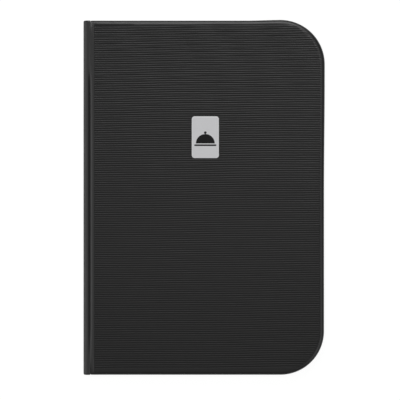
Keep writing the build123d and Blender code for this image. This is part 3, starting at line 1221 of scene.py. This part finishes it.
def spine_wall():
    """The spine's leatherette as a closed shell."""
    loop = spine_loop()
    levels = np.linspace(cover_thickness, wall_top, wall_levels)
    points = np.vstack([np.column_stack((loop, np.full(len(loop), z))) for z in levels])
    at = np.arange(len(points)).reshape(len(levels), len(loop))
    return mesh_object("spine_leatherette", points, tube_faces(at), cover_leatherette)


spine_leatherette = spine_wall()
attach(spine_leatherette, "spine")
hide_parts("spine_skin")
print("spine faces:", len(spine_leatherette.data.polygons))

# %% [markdown]
# ## Inner hinges
# On the inside, a thin strip of lining cloth is glued to the spine's wall and to the inner face of the
# cover. It is the second half of the hinge, and it hides the joint when the cover is open. It has no board
# behind it either, so it sags into the joint in shallow, uneven waves. On the real hinge only the narrow
# part between the wall and the hinge's axis bends, so the points are packed closer there.

# %% Inner hinge strips
hinge_low, hinge_high = box_mm("front_inner_hinge")
hinge_thickness = 0.3
hinge_bend = 0.75
hinge_bend_steps = 7
hinge_stations = 141
bent_share = 0.4
bent_steps = 16
flat_steps = 6
sag = 0.3
sag_fade = 2
sag_margins = (0.8, 1)
sag_wave = 7.3
sag_drift = 19
sag_shift = 0.8
sag_change = 0.4


def swept_strip(name, section, stations, material):
    """A closed strip along Y, from a function that gives its closed section at a station."""
    points = []
    for y in stations:
        loop = section(y)
        points.append(np.column_stack((loop[:, 0], np.full(len(loop), y), loop[:, 1])))
    at = np.arange(len(stations) * len(loop)).reshape(len(stations), len(loop))
    return mesh_object(name, np.vstack(points), tube_faces(at), material)


def inner_hinge_section(y, mirrored):
    """Closed section of an inner hinge at a place along the spine, as (x, z)."""
    hinge_top = closed_thickness - turn_in_depth
    corners = [(wall_x, hinge_low[2]), (wall_x, hinge_top), (hinge_high[0], hinge_top)]
    path = fillet_path(corners, (hinge_bend,), hinge_bend_steps)
    bent = np.linspace(0, bent_share, bent_steps + 1)[1:]
    shares = np.concatenate((bent, np.linspace(bent_share, 1, flat_steps + 1)[1:]))
    path = np.vstack((path[:-1], path[-2] + shares[:, None] * (path[-1] - path[-2])))
    lower = path + path_normals(path) * hinge_thickness
    from_wall = ramp(path[:, 0] - wall_x - sag_margins[0], 0, sag_fade)
    from_cover = ramp(joint_end_x + sag_margins[1] - path[:, 0], 0, sag_fade)
    change = math.sin(y / sag_wave + sag_shift * math.sin(y / sag_drift))
    section = np.vstack((path, lower[::-1]))
    wave = sag * from_wall * from_cover * (1 - sag_change + sag_change * change)
    section[:, 1] += np.concatenate((wave, wave[::-1]))
    if mirrored:
        section[:, 1] = closed_thickness - section[:, 1]
    return section


for mirrored, side in SIDES:
    strip = swept_strip(
        f"{side}_hinge_lining",
        lambda y: inner_hinge_section(y, mirrored),
        np.linspace(hinge_low[1], hinge_high[1], hinge_stations),
        lining_leatherette,
    )
    blend_over_joint(strip, side)
    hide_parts(f"{side}_inner_hinge")
    print(strip.name, "faces:", len(strip.data.polygons))

# %% [markdown]
# ## Foam sheets
# A thin foam sheet lies between the leatherette and the board and is wrapped round the board's edge. It
# gives the cover its soft hand and its round edge. It is pressed thin under the rim, so its own edge is
# round too.

# %% Foam under the leatherette
foam_inset = skin_thickness + 0.05
foam_edge_depth = 3.3
foam_face_depth = 1.8
foam_flat = 6
foam_wrap = 0.4
foam_gap = 0.01
foam_lead = 0.6


def foam_sheet_piece(name, mirrored):
    """A foam sheet with a rounded, wrapped edge, as a closed shell."""
    radius = rim_radius - foam_inset
    steps = [(foam_inset + radius + foam_flat, skin_thickness + 2 * foam_gap)]
    steps += [(foam_inset + radius + foam_lead, skin_thickness + foam_gap)]
    steps += [
        (foam_inset + radius * (1 - math.sin(t)), skin_thickness + radius * (1 - math.cos(t)))
        for t in np.radians(np.linspace(0, 90, 7))
    ]
    steps += [(foam_inset, foam_edge_depth), (skin_thickness + foam_wrap, foam_edge_depth)]
    steps += [(skin_thickness + foam_wrap, foam_face_depth), (rim_radius + foam_flat, foam_face_depth)]
    rings = [cover_outline(inset) for inset, depth in steps]
    points = [np.column_stack((ring, np.full(len(ring), step[1]))) for ring, step in zip(rings, steps)]
    at = np.arange(len(steps) * len(rings[0])).reshape(len(steps), -1)
    return mesh_object(name, heights(np.vstack(points), mirrored), tube_faces(at), foam_sheet)


for mirrored, side in SIDES:
    foam = foam_sheet_piece(f"{side}_foam", mirrored)
    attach(foam, f"{side}_cover")
    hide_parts(f"{side}_padding")
    print(foam.name, "faces:", len(foam.data.polygons))

# %% [markdown]
# ## Emblem on the plate
# The plate carries a plain black serving dome. It is screen-printed enamel, so it stands a few hundredths
# of a millimetre proud of the steel. It is made from closed outlines that are raised a little, which gives
# it a real edge that catches the light.

# %% Enamel serving dome
enamel_rise = 0.04
enamel_sunk = 0.005
emblem_foot = plate_centre[1] - 6.0
dome_radius = 9.0
knob_radius = 1.25
knob_lift = 1.35
tray_drop = 1.7
tray_overhang = 3.2
tray_height = 1.5


def arc_points(centre, radius, start, end, steps):
    """Points along an arc, in degrees."""
    turn = np.radians(np.linspace(start, end, steps))
    return np.column_stack((centre[0] + radius * np.cos(turn), centre[1] + radius * np.sin(turn)))


def rounded_bar(centre, width, height):
    """Outline of a bar with round ends."""
    radius = height / 2
    reach = width / 2 - radius
    right = arc_points((centre[0] + reach, centre[1]), radius, -90, 90, 13)
    left = arc_points((centre[0] - reach, centre[1]), radius, 90, 270, 13)
    return np.vstack((right, left))


def raised_outlines(name, outlines, low, rise, material):
    """Flat shapes raised from their outlines."""
    points = []
    faces = []
    for outline in outlines:
        start = len(points)
        count = len(outline)
        points += [(x, y, z) for z in (low, low + rise) for x, y in outline]
        faces.append([start + i for i in range(count)])
        faces.append([start + count + i for i in range(count)])
        faces += [
            (start + i, start + (i + 1) % count, start + count + (i + 1) % count, start + count + i)
            for i in range(count)
        ]
    made = mesh_object(name, points, faces, material)
    for face in made.data.polygons:
        face.use_smooth = len(face.vertices) == 4
    return made


middle = plate_centre[0]
dome = arc_points((middle, emblem_foot), dome_radius, 0, 180, 49)
knob = arc_points((middle, emblem_foot + dome_radius + knob_lift), knob_radius, 0, 360, 33)[:-1]
tray = rounded_bar((middle, emblem_foot - tray_drop), 2 * dome_radius + tray_overhang, tray_height)
emblem = raised_outlines(
    "plate_emblem", [dome, knob, tray], plate_high[2] - enamel_sunk, enamel_rise, plate_enamel
)
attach(emblem, "front_cover")
print("emblem made on a plate of", plate_high - plate_low, "mm")

# %% [markdown]
# ## The elastic cord
# A round elastic, 2 mm thick, runs down the fold of the insert and turns into the spine at head and foot,
# where an anchor is crimped on each end. It is stretched tight, so its line is straight between the two
# bends. The line is a smooth curve through a few points of its route, and a braided tube is then built
# round it.

# %% Line of the elastic
cord_low, cord_high = box_mm("elastic_cord")
cord_radius = (cord_high[2] - cord_low[2]) / 2
cord_x = cord_high[0] - cord_radius
cord_z = (cord_low[2] + cord_high[2]) / 2
cord_end = cord_high[1] - cord_radius
bend_leg = 4.6
straight_start = 4 * bend_leg
half_route = [
    (cord_low[0], cord_end),
    (cord_x, cord_end),
    (cord_x, cord_end - bend_leg),
    (cord_x, cord_end - straight_start),
]
route = [(x, -y) for x, y in half_route] + [(cord_x, 0.0)] + half_route[::-1]
line = bpy.data.curves.new("elastic_line", "CURVE")
line.dimensions = "3D"
spline = line.splines.new("NURBS")
spline.points.add(len(route) - 1)
for point, (x, y) in zip(spline.points, route):
    point.co = (x * MM, y * MM, cord_z * MM, 1)
spline.order_u = 3
spline.use_endpoint_u = True
spline.resolution_u = 12
line_object = bpy.data.objects.new("elastic_line", line)
bpy.context.scene.collection.objects.link(line_object)
bpy.context.view_layer.update()
followed = bpy.data.meshes.new_from_object(line_object)
route_points = np.array([v.co for v in followed.vertices]) / MM
bpy.data.objects.remove(line_object)
step_lengths = np.linalg.norm(np.diff(route_points, axis=0), axis=1)
route_length = step_lengths.sum()
print("elastic length", round(route_length, 1), "mm")

# %% Braided tube round the line
thread_pitch = 1.6
thread_count = 8
ring_points = 24
station_gap = 0.28
braid_depth = 0.05


def braided_tube(name):
    """A tube whose surface is a braid: two sets of threads that cross over and under."""
    along = np.concatenate(([0], np.cumsum(step_lengths)))
    count = int(route_length / station_gap)
    at = np.linspace(0, route_length, count)
    centre = np.column_stack([np.interp(at, along, route_points[:, i]) for i in range(3)])
    heading = np.gradient(centre, axis=0)
    heading /= np.linalg.norm(heading, axis=1)[:, None]
    upright = np.array((0.0, 0.0, 1.0))
    sideways = np.cross(heading, upright)
    turn = np.linspace(0, 2 * math.pi, ring_points, endpoint=False)
    phase = thread_count * turn[None, :] / 2
    travel = 2 * math.pi * at[:, None] / thread_pitch
    weave = np.sin(phase + travel) * np.sin(phase - travel)
    radius = cord_radius - braid_depth + braid_depth * weave
    offset = np.cos(turn)[None, :, None] * sideways[:, None, :]
    offset = offset + np.sin(turn)[None, :, None] * upright[None, None, :]
    points = (centre[:, None, :] + radius[:, :, None] * offset).reshape(-1, 3)
    rows = np.arange(count * ring_points).reshape(count, ring_points)
    return mesh_object(name, points, tube_faces(rows), elastic_braid)


elastic = braided_tube("braided_cord")
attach(elastic, "spine")
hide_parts("elastic_cord")
print("elastic faces:", len(elastic.data.polygons))

# %% [markdown]
# ## Clear pockets
# A pocket is two films, welded on three sides by a hot bar and open at the head. Soft film is never flat:
# it has shallow waves that fade out at the welds. Each film is made here as a thin closed sheet with
# rounded corners. The welds between the films are flat bands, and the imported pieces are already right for
# them.

# %% Grid of a leaf
leaf_low, leaf_high = box_mm("front_leaf_outer_film")
leaf_corner = 4.0
leaf_columns = 44
leaf_rows = 62
edge_places = (0, 0.3, 0.8, 1.6, 2.5)


def leaf_places(length, count):
    """Places along one side of a leaf, close together near its two ends."""
    half = np.concatenate((edge_places, np.linspace(leaf_corner, length - leaf_corner, count)))
    return np.unique(np.round(np.concatenate((half, length - half)), 4))


def leaf_grid():
    """Grid places of a leaf with rounded corners: the border follows the corners' arcs."""
    u = leaf_places(leaf_high[0] - leaf_low[0], leaf_columns)
    v = leaf_places(leaf_high[1] - leaf_low[1], leaf_rows)
    x, y = np.meshgrid(u, v, indexing="ij")
    width, height = u[-1], v[-1]
    from_side = np.minimum(x, width - x)
    from_end = np.minimum(y, height - y)
    over = np.maximum(leaf_corner - from_end, 0)
    inset = leaf_corner - np.sqrt(np.maximum(leaf_corner**2 - over**2, 0))
    share = ramp(from_side, leaf_corner, 0)
    shift = inset * share * np.where(x < width / 2, 1, -1)
    return leaf_low[0] + x + shift, leaf_low[1] + y


print("grid of a leaf:", leaf_grid()[0].shape)

# %% Films of the pockets
seam_width = 2.5
film_thickness = leaf_high[2] - leaf_low[2]
film_wave = 0.13
film_fade = 18
slow_wave = (31, 43)
quick_wave = (13, 29, 17)
quick_size = 0.4


def thin_sheet(name, x, y, low, thickness, material):
    """A closed thin sheet over a grid of places, with a height at each."""
    rows, columns = x.shape
    top = np.column_stack((x.ravel(), y.ravel(), (low + thickness).ravel()))
    bottom = np.column_stack((x.ravel(), y.ravel(), low.ravel()))
    at = np.arange(rows * columns).reshape(rows, columns)
    upper = np.array(grid_faces(at.T))
    faces = upper.tolist() + (upper[:, ::-1] + rows * columns).tolist()
    border = grid_border(at)
    faces += band_faces(border, border + rows * columns)
    return mesh_object(name, np.vstack((top, bottom)), faces, material)


def film_waves(x, y, seed):
    """Waves of a film, from -1 to 1, which fade out at its three welds."""
    from_weld = np.minimum(np.minimum(x - leaf_low[0], leaf_high[0] - x), y - leaf_low[1]) - seam_width
    slow = np.sin(x / slow_wave[0] + seed) * np.cos(y / slow_wave[1] + 2 * seed)
    quick = np.sin(x / quick_wave[0] + y / quick_wave[1] + seed) * np.sin(y / quick_wave[2] - seed)
    return soft_ramp(from_weld, 0, film_fade) * (slow + quick_size * quick) / (1 + quick_size)


def pocket(side, mirrored):
    """The two films of one leaf."""
    x, y = leaf_grid()
    for place, seed in (("outer", 0.7), ("inner", 2.1)):
        node = f"{side}_leaf_{place}_film"
        low, high = box_mm(node)
        level = low[2] + film_wave * film_waves(x, y, seed + int(mirrored))
        film = thin_sheet(f"{side}_pocket_{place}", x, y, level, high[2] - low[2], clear_film)
        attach(film, f"{side}_leaf")
        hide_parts(node)


for mirrored, side in SIDES:
    pocket(side, mirrored)
print("pockets made, films", round(film_thickness, 2), "mm thick")

# %% [markdown]
# ## Fold of the insert
# A clear strip goes round the elastic and is welded to both leaves. It bends when the leaves turn, so it is
# made as two halves that meet at the elastic.

# %% Fold strip
fold_low, fold_high = box_mm("insert_fold_strip")
fold_reach = 1.05
strip_thickness = 0.2
strip_wave = 0.02
strip_wave_length = 6
strip_stations = 121
lap_places = (leaf_low[0] - 0.6, leaf_low[0] + 0.4, fold_high[0] - 0.4, fold_high[0])


def fold_half(y, up):
    """Closed section of half the fold strip, as (x, z). Its outer face is round the elastic."""
    turn = np.radians(np.linspace(180, 90, 11))
    outer_reach = fold_reach + strip_thickness
    wave = strip_wave * math.sin(y / strip_wave_length)
    halves = []
    for across, high in ((outer_reach, outer_reach + wave), (fold_reach, fold_reach)):
        bend = np.column_stack((cord_x + across * np.cos(turn), high * np.sin(turn)))
        lap = [(x, bend[-1, 1]) for x in lap_places]
        halves.append(np.vstack((bend, lap)))
    section = np.vstack((halves[0], halves[1][::-1]))
    section[:, 1] = cord_z + (section[:, 1] if up else -section[:, 1])
    return section


for side, up in (("front", True), ("back", False)):
    half = swept_strip(
        f"{side}_fold_strip",
        lambda y: fold_half(y, up),
        np.linspace(fold_low[1], fold_high[1], strip_stations),
        clear_film,
    )
    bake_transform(half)
    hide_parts("insert_fold_strip")
print("fold strip", round(fold_high[1] - fold_low[1], 1), "mm long")

# %% [markdown]
# ## Table and background
# The cover lies on a pale matt table top. In the picture the ground is pure white, so rays from the camera,
# from mirrors and through clear pieces see mostly an even white. A part of the table's own shading stays in
# the mix, and that part keeps the soft shadow round the object.

# %% Table top
table_half = 3000
table_level = -0.02
ground_white = 0.93


def table_top():
    """A large pale plane with a fine matt tooth."""
    material, tree, output = new_material("pale_laminate")
    normal = relief(tree, 1.5, detail=2.0, strength=0.1, depth_mm=0.05)[1]
    matt = add_node(tree, "BsdfDiffuse", {"Color": colour("#f2f2f0"), "Roughness": 0.5, "Normal": normal})
    white = add_node(tree, "Emission", {"Color": colour("#ffffff"), "Strength": ground_white})
    faint = add_node(tree, "BsdfDiffuse", {"Color": colour("#626262")})
    kept = add_node(tree, "AddShader", {0: white.outputs[0], 1: faint.outputs[0]})
    path = add_node(tree, "LightPath")
    seen = path.outputs["Is Camera Ray"]
    for ray in ("Is Glossy Ray", "Is Transmission Ray"):
        either = add_node(tree, "Math", {0: seen, 1: path.outputs[ray]}, operation="MAXIMUM")
        seen = either.outputs[0]
    shown = add_node(tree, "MixShader", {0: seen, 1: matt.outputs[0], 2: kept.outputs[0]})
    tree.links.new(shown.outputs[0], output.inputs["Surface"])
    signs = ((-1, -1), (1, -1), (1, 1), (-1, 1))
    corners = [(x * table_half, y * table_half, table_level) for x, y in signs]
    floor = mesh_object("table_top", corners, [(0, 1, 2, 3)], material)


table_top()
print("table top", 2 * table_half * MM, "m wide")

# %% [markdown]
# ## Studio light
# Black leatherette has hardly any colour of its own. What the eye sees on it is the studio: a bright
# ceiling above, pale walls all round with a dark gap over them, a strong softbox at the head of the cover,
# a weaker one on the spine's side and a faint one by the fore corner at the foot. A softbox's brightness is
# its power spread over its area and over all directions, so the power is worked out from the brightness
# that a mirror would show.

# %% World and softboxes
ceiling_light = 0.77
wall_light = 0.28
gap_light = 0.08
ceiling_edge = (0.55, 0.94)
wall_edge = (0.38, 0.54)
world = bpy.data.worlds.new("studio")
bpy.context.scene.world = world
world.use_nodes = True
sky = world.node_tree
sky.nodes.clear()
direction = add_node(sky, "TexCoord")
axes = add_node(sky, "SeparateXYZ", {"Vector": direction.outputs["Generated"]})
zones = []
for edge, below, above in ((ceiling_edge, gap_light, ceiling_light), (wall_edge, wall_light, 0.0)):
    zone = add_node(
        sky,
        "MapRange",
        {
            "Value": axes.outputs["Z"],
            "From Min": edge[0],
            "From Max": edge[1],
            "To Min": below,
            "To Max": above,
        },
        interpolation_type="SMOOTHSTEP",
    )
    zones.append(zone.outputs["Result"])
brighter = add_node(sky, "Math", {0: zones[0], 1: zones[1]}, operation="MAXIMUM")
white = colour("#ffffff")
room = add_node(sky, "Background", {"Color": white, "Strength": brighter.outputs[0]})
white_room = add_node(sky, "Background", {"Color": white, "Strength": 1.0})
path = add_node(sky, "LightPath")
shown_room = add_node(
    sky, "MixShader", {0: path.outputs["Is Camera Ray"], 1: room.outputs[0], 2: white_room.outputs[0]}
)
add_node(sky, "OutputWorld", {"Surface": shown_room.outputs[0]})


def softbox(name, place, size, brightness):
    """A rectangular softbox that faces the object. Place in metres, brightness as a mirror shows it."""
    lamp = bpy.data.lights.new(name, "AREA")
    lamp.shape = "RECTANGLE"
    lamp.size, lamp.size_y = size
    lamp.energy = brightness * math.pi * size[0] * size[1]
    made = bpy.data.objects.new(name, lamp)
    made.location = place
    towards = -made.location.normalized()
    made.rotation_euler = towards.to_track_quat("-Z", "Y").to_euler()
    bpy.context.scene.collection.objects.link(made)
    print(name, "power", round(lamp.energy, 2), "W")


softbox("head_softbox", (0.09, 1.1, 0.89), (1.05, 0.63), 3.8)
softbox("spine_softbox", (-1.3, 0.0, 0.75), (1.3, 1.4), 1.25)
softbox("fore_softbox", (0.9, -0.6, 1.1), (0.7, 1.0), 0.9)

# %% [markdown]
# ## Camera
# The picture is taken from straight above with a long lens. The image is 400 pixels wide and shows 384 mm
# at the height of the cover's widest edge, and that with the camera's distance gives the focal length. The
# camera's aim puts the cover where it lies in the picture, a few millimetres off the middle.

# %% Camera
view_width = 383.95
camera_distance = 1700.0
camera_aim = (-3.6, -2.2)
camera_data = bpy.data.cameras.new("camera")
camera_data.type = "PERSP"
camera_data.sensor_width = 36.0
camera_data.lens = camera_data.sensor_width * camera_distance / view_width
camera = bpy.data.objects.new("camera", camera_data)
camera_height = closed_thickness - rim_radius + camera_distance
camera.location = [length * MM for length in (*camera_aim, camera_height)]
bpy.context.scene.collection.objects.link(camera)
bpy.context.scene.camera = camera
bpy.context.scene.view_settings.view_transform = "Standard"
print("lens", round(camera_data.lens, 1), "mm")
